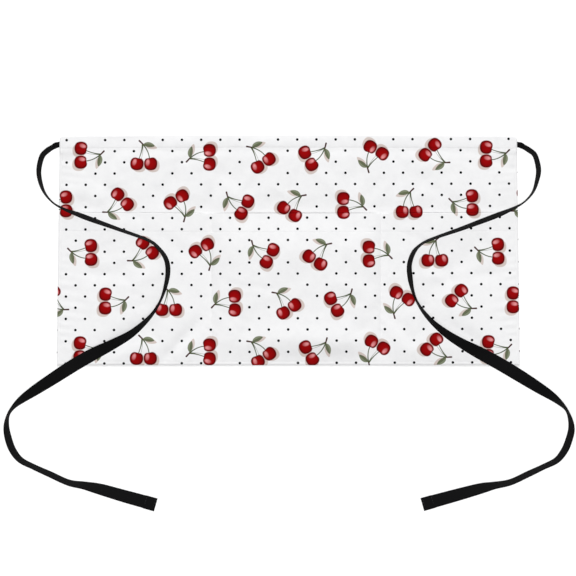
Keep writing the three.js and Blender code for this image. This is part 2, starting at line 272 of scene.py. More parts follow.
def groove(off):
    return stitch["grooveDepth"] * np.exp(-(off / stitch["grooveWidth"]) ** 2)


def seatRise(x, y):
    inner = halfWidthAt(y) - seat["length"] - seat["ease"]
    lower = seatY - tape["width"] / 2 - seat["ease"]
    across = ramp(inner - seat["ease"], inner + seat["ease"] / 2, np.abs(x))
    return seat["depth"] * across * ramp(lower - seat["ease"] / 2, lower + seat["ease"] / 2, y)


def inSeat(x, y):
    inner = seatEdge - seat["length"] - seat["gap"]
    half = tape["width"] / 2 + seat["gap"]
    return (np.abs(x) >= inner - 1e-7) & (np.abs(y - seatY) <= half + 1e-7)


rimShare = 0.1  # of the cloth's thickness, at a folded edge


def edgeShape(inward):
    # 1 inside, falling to a thin rim at a folded edge
    t = np.clip(inward / apron["edgeRound"], 0, 1)
    return rimShare + (1 - rimShare) * np.sin(0.5 * pi * t)


def backHem(x, y):
    side = hemShare(fromSide(x, y), apron["sideHem"])
    return np.maximum(side, hemShare(fromWaist(x, y), apron["waistHem"]))


def backLift(x, y):
    # the folds, rumples and puckers above the pockets lift the whole cloth, not its edges
    side = fromSide(x, y)
    waist = fromWaist(x, y)
    above = y - mouthY
    away = ramp(0, apron["liftFade"], np.minimum(side, waist))
    away = away * ramp(apron["bareFrom"], apron["bareTo"], above)
    free = (
        ramp(0, apron["pocketHem"], above)
        * ramp(apron["sideHem"], apron["sideHem"] + 2 * seat["length"], side)
        * ramp(apron["waistHem"], apron["slackBelow"], waist)
    )
    lean = np.where(x > 0, -1, 1)
    relief = foldsHeight(backRumples, x, y) + foldsHeight(waistFolds, x, y)
    relief += puckers("waist", x, lean * (waist - stitch["waistInset"] + pucker["waistShift"]))
    relief += puckers("side", y, side - stitch["sideInset"]) * pucker["backSide"]
    slack = free * (apron["float"] + foldsHeight(backFolds, x, y))
    return shallow(slack + away * relief, apron["valley"])


def backUnder(x, y):
    under = apron["clothTop"] - apron["clothWall"] - apron["hemDrop"] * backHem(x, y)
    under = np.maximum(under + backLift(x, y), apron["tableGap"])
    return np.where(inSeat(x, y), np.maximum(under, seat["depth"]), under)


def backFace(x, y):
    side = fromSide(x, y)
    waist = fromWaist(x, y)
    above = y > mouthY - apron["pocketHem"]
    sideGroove = sideDeeper * groove(side - stitch["sideInset"])
    grooves = groove(waist - stitch["waistInset"]) + np.where(above, sideGroove, 0)
    grooves = grooves * ramp(0, stitch["grooveFade"], np.minimum(side, waist))
    hem = apron["hemRise"] * backHem(x, y)
    hem += apron["hemPuff"] * np.sin(pi * np.clip(waist / stitch["waistInset"], 0, 1))
    return apron["clothTop"] + hem + seatRise(x, y) + backLift(x, y) - grooves


# Each pocket's sides, and how far it stands off the back: near its bottom, above, and at its mouth.
outerSeam = halfWidth - apron["sideSeam"]
narrow = {"stands": (3.8, 2.8, 2.7), "rise": (-0.02, 0.13), "flat": 4}
broad = {"stands": (4.4, 8.0, 3.4), "rise": (0, 0.18), "flat": 7.5}
pockets = [
    {"from": -outerSeam, "to": apron["leftSeam"], **narrow},
    {"from": apron["leftSeam"], "to": apron["rightSeam"], **broad},
    {"from": apron["rightSeam"], "to": outerSeam, **narrow},
]
pocketShape = {"fall": (0.12, 0.8), "open": (0.74, 1.04), "ease": 0.12}
sideRipples = {"middle": -62 * mm, "span": 50 * mm, "least": 0.2}


def pocketStandoff(x, y):
    # how far the pocket cloth stands off the back cloth: hardly at all at its seams
    lower = fromLower(y)
    side = fromSide(x, y)
    mouth = fromMouth(x, y)
    up = np.clip(lower / fromLower(mouthY), 0, 1)
    falling = ramp(*pocketShape["fall"], up)
    opening = ramp(*pocketShape["open"], up)
    ease = 1 - (1 - np.clip(up / pocketShape["ease"], 0, 1)) ** 2
    folds = foldsHeight(pocketFolds, x, y)
    rumples = foldsHeight(pocketRumples, x, y)
    total = np.zeros_like(x)
    for pocket in pockets:
        t = 2 * (x - pocket["from"]) / (pocket["to"] - pocket["from"]) - 1
        across = np.clip(1 - np.abs(t) ** pocket["flat"], 0, 1) * (np.abs(t) <= 1)
        rising = ramp(*pocket["rise"], up)
        low, middle, mouthStand = pocket["stands"]
        rise = low * rising + (middle - low) * falling + (mouthStand - middle) * opening
        total += rise * mm * across
        total += (folds + rumples) * np.minimum(1, 2 * across) * ease
    ripples = puckers("mouth", x, mouth - stitch["mouthInset"] + pucker["mouthShift"])
    most = np.exp(-((y - sideRipples["middle"]) / sideRipples["span"]) ** 2)
    share = sideRipples["least"] + (1 - sideRipples["least"]) * most
    ripples += puckers("side", y, side - stitch["sideInset"]) * share
    ripples += puckers("lower", x, lower - stitch["lowerInset"])
    for seam in dividers:
        ripples += puckers("divider", y, x - seam)
    away = ramp(0, apron["liftFade"], np.minimum(np.minimum(side, mouth), lower))
    return np.maximum(total, 0) + away * ripples


def pocketGrooves(x, y):
    side = fromSide(x, y)
    mouth = fromMouth(x, y)
    lower = fromLower(y)
    depth = groove(mouth - stitch["mouthInset"]) + groove(lower - stitch["lowerInset"])
    for seam in dividers:
        depth += groove(x - seam)
    depth = np.minimum(depth, stitch["grooveDepth"])
    depth = np.maximum(depth, sideDeeper * groove(side - stitch["sideInset"]))
    return depth * ramp(0, stitch["grooveFade"], np.minimum(np.minimum(side, mouth), lower))


def pocketUnder(x, y):
    base = apron["clothTop"] + apron["hemRise"] * hemShare(fromSide(x, y), apron["sideHem"])
    mouth = fromMouth(x, y)
    drop = apron["hemDrop"] * hemShare(mouth, apron["pocketHem"])
    stand = pocketStandoff(x, y)
    return base + apron["seamGap"] + stand - np.minimum(drop, stand)


def pocketFace(x, y):
    mouth = fromMouth(x, y)
    hem = apron["hemRise"] * hemShare(mouth, apron["pocketHem"])
    base = apron["clothTop"] + apron["hemRise"] * hemShare(fromSide(x, y), apron["sideHem"])
    lift = apron["seamGap"] + pocketStandoff(x, y) + apron["clothWall"] + hem
    return base + lift - pocketGrooves(x, y)


def clothHeight(x, y):
    # the highest cloth under a point, or the table beside the apron
    share = x / halfWidthAt(y)
    beside = (np.abs(share) > 1) | (y < -halfHeight) | (y > waistLineAt(share))
    covered = y <= mouthEdgeAt(share)
    face = np.where(covered, pocketFace(x, y), backFace(x, y))
    return np.where(beside, 0, face + tape["clearance"])


# Shader maths: one class wraps a socket, so that sums of sockets read as plain sums.
class Wire:
    def __init__(self, tree, socket):
        self.tree = tree
        self.socket = socket

    def node(self, kind, settings=None, inputs=None, output=0):
        made = self.tree.nodes.new(kind)
        for name, value in (settings or {}).items():
            setattr(made, name, value)
        for name, value in (inputs or {}).items():
            target = made.inputs[name]
            if isinstance(value, Wire):
                self.tree.links.new(value.socket, target)
            else:
                target.default_value = value
        return Wire(self.tree, made.outputs[output])

    def output(self, index):
        # another output of the same node
        return Wire(self.tree, self.socket.node.outputs[index])

    def math(self, operation, *others, clamp=False):
        values = {i: value for i, value in enumerate((self, *others))}
        return self.node("ShaderNodeMath", {"operation": operation, "use_clamp": clamp}, values)

    def __add__(self, other):
        return self.math("ADD", other)

    __radd__ = __add__

    def __sub__(self, other):
        return self.math("SUBTRACT", other)

    def __rsub__(self, other):
        return self.node("ShaderNodeMath", {"operation": "SUBTRACT"}, {0: other, 1: self})

    def __mul__(self, other):
        return self.math("MULTIPLY", other)

    __rmul__ = __mul__

    def __truediv__(self, other):
        return self.math("DIVIDE", other)

    def __pow__(self, other):
        return self.math("POWER", other)

    def clamp(self):
        return self.math("ADD", 0, clamp=True)

    def wrap(self, period):
        return self.math("FLOORED_MODULO", period)

    def mix(self, colour, other):
        # this wire is the factor: 0 gives colour and 1 gives other
        inputs = {"Factor": self, 6: colour, 7: other}
        return self.node("ShaderNodeMix", {"data_type": "RGBA"}, inputs, 2)


def length(a, b):
    return (a * a + b * b).math("SQRT")


def soft(distance, edge):
    # 1 where a signed distance is inside a shape, with a soft edge
    return (0.5 - distance / edge).clamp()


def newMaterial(name):
    material = bpy.data.materials.new(name)
    material.use_nodes = True
    return material, material.node_tree.nodes["Principled BSDF"]


def fromUv(material, uvName):
    # the place in a piece's own UV map, and its two parts in millimetres
    place = Wire(material.node_tree, None).node("ShaderNodeUVMap", {"uv_map": uvName})
    parts = place.node("ShaderNodeSeparateXYZ", inputs={0: place})
    return place, parts * (1 / mm), parts.output(1) * (1 / mm)


def noise(place, scale, detail):
    return place.node("ShaderNodeTexNoise", inputs={"Vector": place, "Scale": scale, "Detail": detail})


def dress(shader, colour, roughness, specular, relief=None, bump=None):
    colour.tree.links.new(colour.socket, shader.inputs["Base Color"])
    shader.inputs["Roughness"].default_value = roughness
    shader.inputs["Specular IOR Level"].default_value = specular
    if relief:
        inputs = {"Strength": bump["strength"], "Distance": bump["depth"], "Height": relief}
        normal = relief.node("ShaderNodeBump", inputs=inputs)
        colour.tree.links.new(normal.socket, shader.inputs["Normal"])


# The print: dots on a half-drop grid, and a tossed row of cherry pairs that repeats after seven
# turns. Two rows run one way and the next two are their mirror image. Lengths are millimetres,
# turns are degrees and colours are linear.
pattern = {
    "tilt": 0.17,
    "flare": 0.004,  # how much wider the print lies along the lower edge
    "dotAcross": 25.55,
    "dotUp": 14.8,
    "dotRadius": 1.76,
    "dotStart": (-294.3, 146.6),
    "motifAcross": 77.0,
    "motifUp": 64.45,
    "motifStart": (-267.2, -133.6),
    "drop": 33.4,
    "mirrorShift": 2.2,
    "white": (0.80, 0.80, 0.805, 1),
    "greyer": (0.765, 0.765, 0.775, 1),
    "black": (0.003, 0.003, 0.004, 1),
    "cherry": (0.270, 0.0014, 0.0020, 1),
    "cherryDeep": (0.165, 0.0012, 0.0016, 1),
    "cherryRim": (0.060, 0.0008, 0.0010, 1),
    "halo": (0.50, 0.17, 0.17, 1),
    "shine": (0.72, 0.27, 0.28, 1),
    "leaf": (0.118, 0.132, 0.078, 1),
    "leafPale": (0.190, 0.215, 0.140, 1),
    "leafRib": (0.055, 0.068, 0.034, 1),
    "stem": (0.070, 0.088, 0.044, 1),
    "stemPale": (0.17, 0.19, 0.14, 1),
    "twig": (0.055, 0.020, 0.018, 1),
    "shade": (0.560, 0.478, 0.442, 1),
}
motifTurns = {
    "turn": (-91, 0, 90, 34, -61, 150, -134),
    "shift": (0.3, -0.4, 0.2, -0.5, -6.0, -5.6, -0.7),
    "rise": (1.2, -0.7, 0.3, -1.0, 0.4, 1.1, 1.7),
}

motif = {
    "cherries": [
        {"at": (-10.2, -8.4), "half": (8.8, 8.6), "dent": 2.6, "shine": (-3.3, 1.9), "shineTilt": 72},
        {"at": (8.1, -8.4), "half": (8.65, 8.7), "dent": -2.0, "shine": (-4.0, 1.3), "shineTilt": 82},
    ],
    "knot": (-2.6, 17.8),
    "twigEnd": (-7.0, 22.0),
    "stems": [
        {"end": (-7.6, -2.0), "bow": 0.8, "half": 0.52},
        {"end": (6.4, -1.6), "bow": 1.9, "half": 0.56},
    ],
    "paleStem": {"end": (-4.3, -1.8), "bow": 0.9, "half": 0.22},
    "edge": {"dot": 0.15, "fruit": 0.4, "stem": 0.4, "leaf": 0.5, "shade": 1.0},  # soft widths
    "shine": (4.0, 2.3),
    "halo": 0.35,
    "leaf": {"from": (-1.4, 17.5), "to": (13.4, 15.0), "half": 3.3},
    "shadeShift": (3.2, -2.7),
}
# a dot that would lie this near one of these places is left out
dotRoom = [
    ((-9.7, -11.4), 14.9), ((10.8, -11.4), 14.9), ((9.5, 13.6), 9.4), ((-1.5, 15.0), 11.0),
    ((5.0, 4.6), 5.2),
]


def chosenTurn(step, name):
    # the named value of one of the seven turns, for a step that runs from 0 to 6
    total = step * 0
    for index, value in enumerate(motifTurns[name]):
        if value:
            total = total + (step - index).math("ABSOLUTE").math("LESS_THAN", 0.5) * value
    return total


def motifPlace(x, y):
    # where a point lies in the motif of its own cell, turned and mirrored with that motif
    startX, startY = pattern["motifStart"]
    row = ((y - startY) / pattern["motifUp"]).math("ROUND")
    mirrored = (row.wrap(4) / 2).math("FLOOR")
    sign = 1 - mirrored * 2
    runX = x * sign + mirrored * pattern["mirrorShift"] - startX
    runX = runX - row.wrap(2) * pattern["drop"]
    column = (runX / pattern["motifAcross"]).math("ROUND")
    step = column.wrap(len(motifTurns["turn"]))
    dx = runX - column * pattern["motifAcross"] - chosenTurn(step, "shift")
    dy = y - startY - row * pattern["motifUp"] - chosenTurn(step, "rise")
    angle = chosenTurn(step, "turn") * radians(1)
    cosine = angle.math("COSINE")
    sine = angle.math("SINE")
    return dx * cosine + dy * sine, dy * cosine - dx * sine


def cherryDistance(x, y, cherry):
    # a round fruit, a little flat on top, with a shallow dent where its stem goes in
    dx = (x - cherry["at"][0]) / cherry["half"][0]
    dy = (y - cherry["at"][1]) / cherry["half"][1]
    top = dy.clamp() ** 3
    dent = ((dx - cherry["dent"] / cherry["half"][0]) ** 2 * -7).math("EXPONENT")
    squared = dx ** 2 + dy ** 2 - ((dx * dy) ** 2).math("MINIMUM", 1) * 0.36
    return (squared.math("SQRT") - 1 + dent * top * 0.22) * cherry["half"][0]


def leafDistance(x, y):
    # a lens with a long point: its signed distance, and how far off its bent middle a place lies
    (fromX, fromY), (toX, toY) = motif["leaf"]["from"], motif["leaf"]["to"]
    span = hypot(toX - fromX, toY - fromY)
    dx = x - fromX
    dy = y - fromY
    along = (dx * (toX - fromX) + dy * (toY - fromY)) / span ** 2
    off = (dy * (toX - fromX) - dx * (toY - fromY)) / span
    inside = along.clamp()
    width = (inside * (1 - inside)) ** 0.7 * (1.15 - inside * 0.3) * 2.6 * motif["leaf"]["half"]
    off = off - inside * (1 - inside) * 2.2
    past = (along - inside).math("ABSOLUTE") * span
    return off.math("ABSOLUTE") + past - width, off


def stemDistance(x, y, stem):
    # a thin bow from the knot down to a cherry, a little thicker near the knot
    knotX, knotY = motif["knot"]
    endX, endY = stem["end"]
    down = (knotY - y) / (knotY - endY)
    inside = down.clamp()
    line = inside * (endX - knotX) + inside * (1 - inside) * 4 * stem["bow"] + knotX
    past = (down - inside).math("ABSOLUTE") * (knotY - endY)
    return (x - line).math("ABSOLUTE") * 0.9 + past - stem["half"] - (1 - inside) ** 3 * 0.6


def twigDistance(x, y):
    knotX, knotY = motif["knot"]
    reachX, reachY = motif["twigEnd"][0] - knotX, motif["twigEnd"][1] - knotY
    dx = x - knotX
    dy = y - knotY
    t = ((dx * reachX + dy * reachY) / (reachX ** 2 + reachY ** 2)).clamp()
    return length(dx - t * reachX, dy - t * reachY) - t * 0.25 - 0.9


def printColour(x, y, ground, strength):
    # the whole print over a ground colour
    edge = motif["edge"]
    tilt = radians(pattern["tilt"])
    flatX = x + y * tilt
    flatY = y - x * tilt
    localX, localY = motifPlace(flatX, flatY)
    shadeX = localX - motif["shadeShift"][0]
    shadeY = localY - motif["shadeShift"][1]
    shade = soft(leafDistance(shadeX, shadeY)[0], edge["shade"])
    for cherry in motif["cherries"]:
        shade = shade.math("MAXIMUM", soft(cherryDistance(shadeX, shadeY, cherry), edge["shade"]))
    colour = (shade * 0.95 * strength).mix(ground, pattern["shade"])
    pale = soft(stemDistance(localX, localY, motif["paleStem"]), edge["leaf"]) * 0.8 * strength
    colour = pale.mix(colour, pattern["stemPale"])

    # a dot is left out where its own middle lies too near a motif
    startX, startY = pattern["dotStart"]
    dotRow = ((flatY - startY) / pattern["dotUp"]).math("ROUND")
    drop = dotRow.wrap(2) * (pattern["dotAcross"] / 2)
    dotColumn = ((flatX - startX - drop) / pattern["dotAcross"]).math("ROUND")
    dotX = dotColumn * pattern["dotAcross"] + startX + drop
    dotY = dotRow * pattern["dotUp"] + startY
    farX, farY = motifPlace(dotX, dotY)
    away = length(flatX - dotX, flatY - dotY) - pattern["dotRadius"]
    dot = soft(away, edge["dot"]) * strength
    for (roomX, roomY), room in dotRoom:
        dot = dot * length(farX - roomX, farY - roomY).math("GREATER_THAN", room)
    colour = dot.mix(colour, pattern["black"])

    for stem in motif["stems"]:
        thin = soft(stemDistance(localX, localY, stem), edge["stem"]) * strength
        colour = thin.mix(colour, pattern["stem"])
    leafAway, leafOff = leafDistance(localX, localY)
    leafColour = soft(leafOff - 0.2, 1.6).mix(pattern["leafPale"], pattern["leaf"])
    rib = soft(leafOff.math("ABSOLUTE") - 0.22, 0.5) * 0.7
    leafColour = rib.mix(leafColour, pattern["leafRib"])
    leafRim = (1 + leafAway / 0.8).clamp() * 0.6
    leafColour = leafRim.mix(leafColour, pattern["leaf"])
    colour = (soft(leafAway, edge["leaf"]) * strength).mix(colour, leafColour)
    twig = soft(twigDistance(localX, localY), edge["leaf"]) * strength
    colour = twig.mix(colour, pattern["twig"])
    for cherry in motif["cherries"]:
        away = cherryDistance(localX, localY, cherry)
        lean = (localX - cherry["at"][0]) / cherry["half"][0] - (localY - cherry["at"][1]) * 0.06
        deep = (lean * 0.4 + 0.65 + away / 8).clamp()
        fruit = deep.mix(pattern["cherry"], pattern["cherryDeep"])
        rim = (1.2 + away / 2.0).clamp() * 0.9
        fruit = rim.mix(fruit, pattern["cherryRim"])
        at = (cherry["at"][0] + cherry["shine"][0], cherry["at"][1] + cherry["shine"][1])
        along, off = turned(localX, localY, at, cherry["shineTilt"])
        gleam = soft(length(along / motif["shine"][0], off / motif["shine"][1]) - 1, 0.7)
        fruit = (gleam * (0.74 + along * 0.11)).clamp().mix(fruit, pattern["shine"])
        halo = soft(away - motif["halo"], 2 * edge["fruit"]) * 0.7 * strength
        colour = halo.mix(colour, pattern["halo"])
        colour = (soft(away, edge["fruit"]) * strength).mix(colour, fruit)
    return colour


cotton = {
    "thread": 0.55, "slub": 0.5, "slubScale": 900.0, "mottleScale": 110.0,
    "bump": {"strength": 0.35, "depth": 0.12 * mm},
    "roughness": 0.9, "specular": 0.05,
}
tapeWeave = {
    "rib": 1.5, "slant": 1.6, "end": 0.8, "ribShare": 0.35, "endShare": 0.2, "fuzz": 0.4,
    "fuzzScale": 700.0,
    "dark": (0.0005, 0.0005, 0.0006, 1),
    "ribHighlight": (0.0075, 0.0075, 0.008, 1),
    "bump": {"strength": 0.5, "depth": 0.15 * mm},
    "roughness": 0.85, "specular": 0.06,
}
yarn = {"ply": 0.5 * mm, "roughness": 0.6, "specular": 0.5}


def clothMaterial(name, strength):
    # strength 1 is the printed face, and less is the wrong side with the print showing through
    material, shader = newMaterial(name)
    place, x, y = fromUv(material, "cloth")
    mottle = ((noise(place, cotton["mottleScale"], 4.0) - 0.35) * 2).clamp()
    ground = mottle.mix(pattern["white"], pattern["greyer"])
    colour = printColour(x, y, ground, strength)
    thread = fullTurn / cotton["thread"]
    crossing = (x * thread).math("SINE") * (y * thread).math("SINE") * 0.5 + 0.5
    relief = crossing + noise(place, cotton["slubScale"], 2.0) * cotton["slub"]
    dress(shader, colour, cotton["roughness"], cotton["specular"], relief, cotton["bump"])
    return material


def tapeMaterial():
    # black cotton tape, woven in narrow slanting ribs that meet along its middle; its colour is painted
    # lighter on the raised ribs as a painted highlight, and also varies at random with the fuzz
    material, shader = newMaterial("blackTape")
    place, across, along = fromUv(material, "tape")
    slanting = along + across.math("ABSOLUTE") * tapeWeave["slant"]
    ribs = (slanting * (fullTurn / tapeWeave["rib"])).math("SINE")
    ends = (across * (fullTurn / tapeWeave["end"])).math("SINE")
    relief = ribs * tapeWeave["ribShare"] + ends * tapeWeave["endShare"] + 0.5
    fuzz = noise(place, tapeWeave["fuzzScale"], 3.0)
    # painted highlight: the colour runs from dark to lighter on the weave's raised ribs, plus random tone
    # from the fuzz
    colour = (relief * 0.6 + fuzz * 0.5).clamp().mix(tapeWeave["dark"], tapeWeave["ribHighlight"])
    relief = relief + fuzz * tapeWeave["fuzz"]
    dress(shader, colour, tapeWeave["roughness"], tapeWeave["specular"], relief, tapeWeave["bump"])
    return material


def threadMaterial(name, pale, dark):
    # plied thread: fine slanting bands of light and shade along each stitch
    material, shader = newMaterial(name)
    place = Wire(material.node_tree, None).node("ShaderNodeTexCoord", output=3)
    parts = place.node("ShaderNodeSeparateXYZ", inputs={0: place})
    slanting = parts + parts.output(1) + parts.output(2)
    ply = (slanting * (fullTurn / yarn["ply"])).math("SINE") * 0.5 + 0.5
    dress(shader, ply.mix(dark, pale), yarn["roughness"], yarn["specular"])
    return material


printedCloth = clothMaterial("printedCloth", 1.0)
clothBack = clothMaterial("clothBack", 0.14)
blackTape = tapeMaterial()
whiteThread = threadMaterial("whiteThread", (0.86, 0.86, 0.86, 1), (0.70, 0.70, 0.71, 1))
blackThread = threadMaterial("blackThread", (0.022, 0.022, 0.024, 1), (0.008, 0.008, 0.009, 1))
print("materials made")


def printPlace(x, y):
    # the print's own coordinates at a place on the cloth
    return x * (1 + pattern["flare"] * y / halfHeight), y


# Meshes.
def makeMesh(name, points, faces, materials, uvName=None, uvs=None, faceMaterial=None):
    mesh = bpy.data.meshes.new(name)
    mesh.from_pydata([tuple(p) for p in points], [], [tuple(int(i) for i in f) for f in faces])
    for material in materials:
        mesh.materials.append(material)
    if faceMaterial is not None:
        mesh.polygons.foreach_set("material_index", np.asarray(faceMaterial, dtype=np.int32))
    if uvName:
        layer = mesh.uv_layers.new(name=uvName)
        loops = np.zeros(len(mesh.loops), dtype=np.int32)
        mesh.loops.foreach_get("vertex_index", loops)
        layer.data.foreach_set("uv", np.asarray(uvs, dtype=np.float32)[loops].ravel())
    mesh.polygons.foreach_set("use_smooth", np.ones(len(mesh.polygons), dtype=bool))
    mesh.update()
    return addObject(name, mesh)


def gridLines(stops, step):
    # lines through all the stops, with no two further apart than step
    ordered = sorted(set(round(s, 6) for s in stops))
    lines = [ordered[0]]
    for start, end in zip(ordered, ordered[1:]):
        count = max(1, ceil((end - start) / step))
        lines += [start + (end - start) * k / count for k in range(1, count + 1)]
    return np.array(lines)


# The sheets' grid: the widest spacing, and closer lines at edges and seams. The waist and the mouth
# are rounded over a shorter way than the other edges.
grid = {"across": 2.25 * mm, "up": 2.4 * mm, "upperSharper": 2.5}
edgeInsets = [inset * mm for inset in (0, 0.08, 0.25, 0.6, 1.1, 1.6, 2.2)]


def aroundSeam(place):
    return [place + offset * mm for offset in (-1.6, -0.8, 0, 0.8, 1.6)]


def acrossStops():
    half = halfWidth
    edges = [half - inset for inset in edgeInsets]
    edges += aroundSeam(half - stitch["sideInset"])
    edges += [half - apron["sideHem"] - apron["hemEase"], half - apron["sideHem"] + apron["hemEase"]]
    edges.append(seatEdge - seat["length"] - seat["gap"])
    seams = aroundSeam(apron["leftSeam"]) + aroundSeam(apron["rightSeam"])
    return seams + edges + [-x for x in edges]


def makeSheet(name, rows, upperAt, under, face, wrongSide, droop):
    # a closed sheet between its under side and its face, thinner towards its folded edges
    lowerY = -halfHeight
    share = gridLines(acrossStops(), grid["across"])[None, :] / halfWidth
    y = lowerY + (upperAt(share) - lowerY) * rows[:, None]
    x = share * halfWidthAt(y)
    upper = grid["upperSharper"] * (upperAt(share) - y)
    inward = np.minimum(fromSide(x, y), np.minimum(upper, y - lowerY))
    low = under(x, y)
    shape = edgeShape(inward)
    thickness = (face(x, y) - low) * shape
    low = low - droop * (1 - shape)
    plan = np.stack([x.ravel(), y.ravel()], axis=1)
    points = np.vstack([np.column_stack([plan, z.ravel()]) for z in (low, low + thickness)])
    nRows, nColumns = x.shape
    layer = nRows * nColumns
    index = np.arange(layer).reshape(nRows, nColumns)
    corners = [index[:-1, :-1], index[:-1, 1:], index[1:, 1:], index[1:, :-1]]
    top = np.stack([c.ravel() for c in corners], axis=1) + layer
    bottom = np.stack([c.ravel() for c in reversed(corners)], axis=1)
    rim = np.concatenate([index[0, :-1], index[:-1, -1], index[-1, :0:-1], index[:0:-1, 0]])
    after = np.roll(rim, -1)
    wall = np.stack([rim, after, after + layer, rim + layer], axis=1)
    faces = np.vstack([top, bottom, wall])
    wrong = wrongSide(x.ravel()[bottom].mean(axis=1), y.ravel()[bottom].mean(axis=1))
    slots = np.concatenate([np.zeros(len(top)), wrong.astype(int), np.zeros(len(wall))])
    printed = np.stack(printPlace(x.ravel(), y.ravel()), axis=1)
    uvs = np.vstack([printed, printed])
    return makeMesh(name, points, faces, [printedCloth, clothBack], "cloth", uvs, slots)


def sheetRows(depth, hem, inset, extra=()):
    # rows as shares of the sheet's depth, closer together at its edges, seam and hem
    lower = edgeInsets + aroundSeam(stitch["lowerInset"])
    upper = edgeInsets + aroundSeam(inset)
    upper += [hem - apron["hemEase"], hem + apron["hemEase"], *extra]
    stops = [d / depth for d in lower] + [1 - d / depth for d in upper]
    return gridLines(stops, grid["up"] / depth)


# where each sheet's under side is the wrong side of the cloth, not a turned hem
def innerBack(x, y):
    return backHem(x, y) < 0.5


def innerPocket(x, y):
    return fromMouth(x, y) > apron["pocketHem"]


def makeBackPanel():
    half = tape["width"] / 2 + seat["gap"]
    extra = [halfHeight - y for y in (seatY - half, seatY + half)]
    rows = sheetRows(2 * halfHeight, apron["waistHem"], stitch["waistInset"], extra)
    return makeSheet("backPanel", rows, waistEdgeAt, backUnder, backFace, innerBack, 0)


def makePocketPanel():
    rows = sheetRows(fromLower(mouthY), apron["pocketHem"], stitch["mouthInset"])
    droop = apron["edgeDroop"]
    return makeSheet("pocketPanel", rows, mouthEdgeAt, pocketUnder, pocketFace, innerPocket, droop)


# Ties. Each route runs from the sewn end to the free end: x, y in millimetres and roll in
# degrees. A roll of 180 lies flat and 90 stands on edge.
flatRoll = 180
leftRoute = [
    (-311, 136.8, 122), (-319, 131.5, 111), (-326, 123.5, 109), (-330, 106, 107), (-328, 90, 104),
    (-322, 75, 97), (-311, 62.5, 94), (-296, 54, 100), (-279, 47.5, 109), (-262, 41, 111), (-223, 27, 105),
    (-185, 13, 102), (-171, 2, 104), (-161.5, -12, 108), (-159, -28, 109), (-162, -47, 104),
    (-168.5, -66, 97), (-179, -83.5, 102), (-193, -98.5, 113), (-210.5, -112.5, 126),
    (-236, -126.5, 144), (-258, -137.5, 164), (-285, -153, 176), (-311.5, -170, 160),
    (-334.5, -185, 144), (-352.5, -197.5, 124), (-363.5, -207.5, 106), (-370.5, -218, 99),
    (-373, -232, 109), (-371, -247, 117), (-365, -264, 117), (-354.5, -277.5, 113),
    (-337.5, -286.5, 110), (-315.5, -296.5, 113), (-291, -307.5, 114), (-270, -311.5, 124),
    (-249, -316.5, 146), (-220, -325, 160), (-190, -333.5, 176),
]
rightRoute = [
    (311, 137, 122), (319, 132, 110), (326.5, 125, 107), (331, 107, 108), (329, 92, 104),
    (323.5, 76.5, 97), (312.5, 64, 94), (299, 56, 100), (281, 48, 110), (263, 41, 112), (228, 28, 107),
    (188, 14, 101), (174, 6.5, 100), (165, -4, 107), (160, -20, 109), (161, -37, 110),
    (164.5, -54, 101), (170, -68, 97), (179, -82, 104), (192, -96.5, 112), (210.5, -111.5, 126),
    (231.5, -124.5, 140), (254, -136.5, 162), (280.5, -151, 176), (308, -167.5, 164),
    (333.5, -183.5, 146), (349.5, -194, 128), (361.5, -204, 110), (369, -213, 99),
    (373.5, -225.5, 107), (374.5, -238, 115), (371, -252, 117), (365.5, -265, 117),
    (355, -278, 113), (337, -287, 110), (318, -296, 113), (294, -307, 114), (272, -311.5, 122),
    (254.5, -315.5, 142), (224, -324, 158), (192, -333, 174),
]


# the tape's section, in shares of its half width and half thickness
underSide = [(-0.975, -0.75), (-0.9, -1), (-0.45, -1), (0, -1), (0.45, -1), (0.9, -1), (0.975, -0.75)]
tapeSection = [(-1, 0), *underSide, (1, 0), *[(w, -n) for w, n in reversed(underSide)]]


def smoothRoute(corners, steps):
    # a Catmull-Rom curve through the corners, sampled evenly between each two
    p = np.asarray(corners, dtype=float)
    p = np.vstack([2 * p[0] - p[1], p, 2 * p[-1] - p[-2]])
    made = []
    for i in range(1, len(p) - 2):
        a, b, c, d = p[i - 1], p[i], p[i + 1], p[i + 2]
        for k in range(steps):
            t = k / steps
            bend = (2 * a - 5 * b + 4 * c - d) * t ** 2 + (3 * b - a - 3 * c + d) * t ** 3
            made.append(0.5 * (2 * b + (c - a) * t + bend))
    made.append(p[-2])
    return np.array(made)


def distances(points):
    # how far along the line's plan each point lies
    steps = np.hypot(np.diff(points[:, 0]), np.diff(points[:, 1]))
    return np.concatenate([[0], np.cumsum(steps)])


def placesAt(at, distance, points):
    return np.column_stack([np.interp(at, distance, column) for column in points.T])


def evenStations(points, spacing):
    # the same line at even distances along its plan
    distance = distances(points)
    count = int(round(distance[-1] / spacing))
    return placesAt(np.linspace(0, distance[-1], count + 1), distance, points)


def softened(values, reach):
    # the highest value near each place, then an average of those
    count = len(values)
    high = np.array([values[max(0, i - reach):i + reach + 1].max() for i in range(count)])
    weights = np.hanning(2 * reach + 3)[1:-1]
    padded = np.pad(high, reach, mode="edge")
    return np.convolve(padded, weights / weights.sum(), mode="valid")


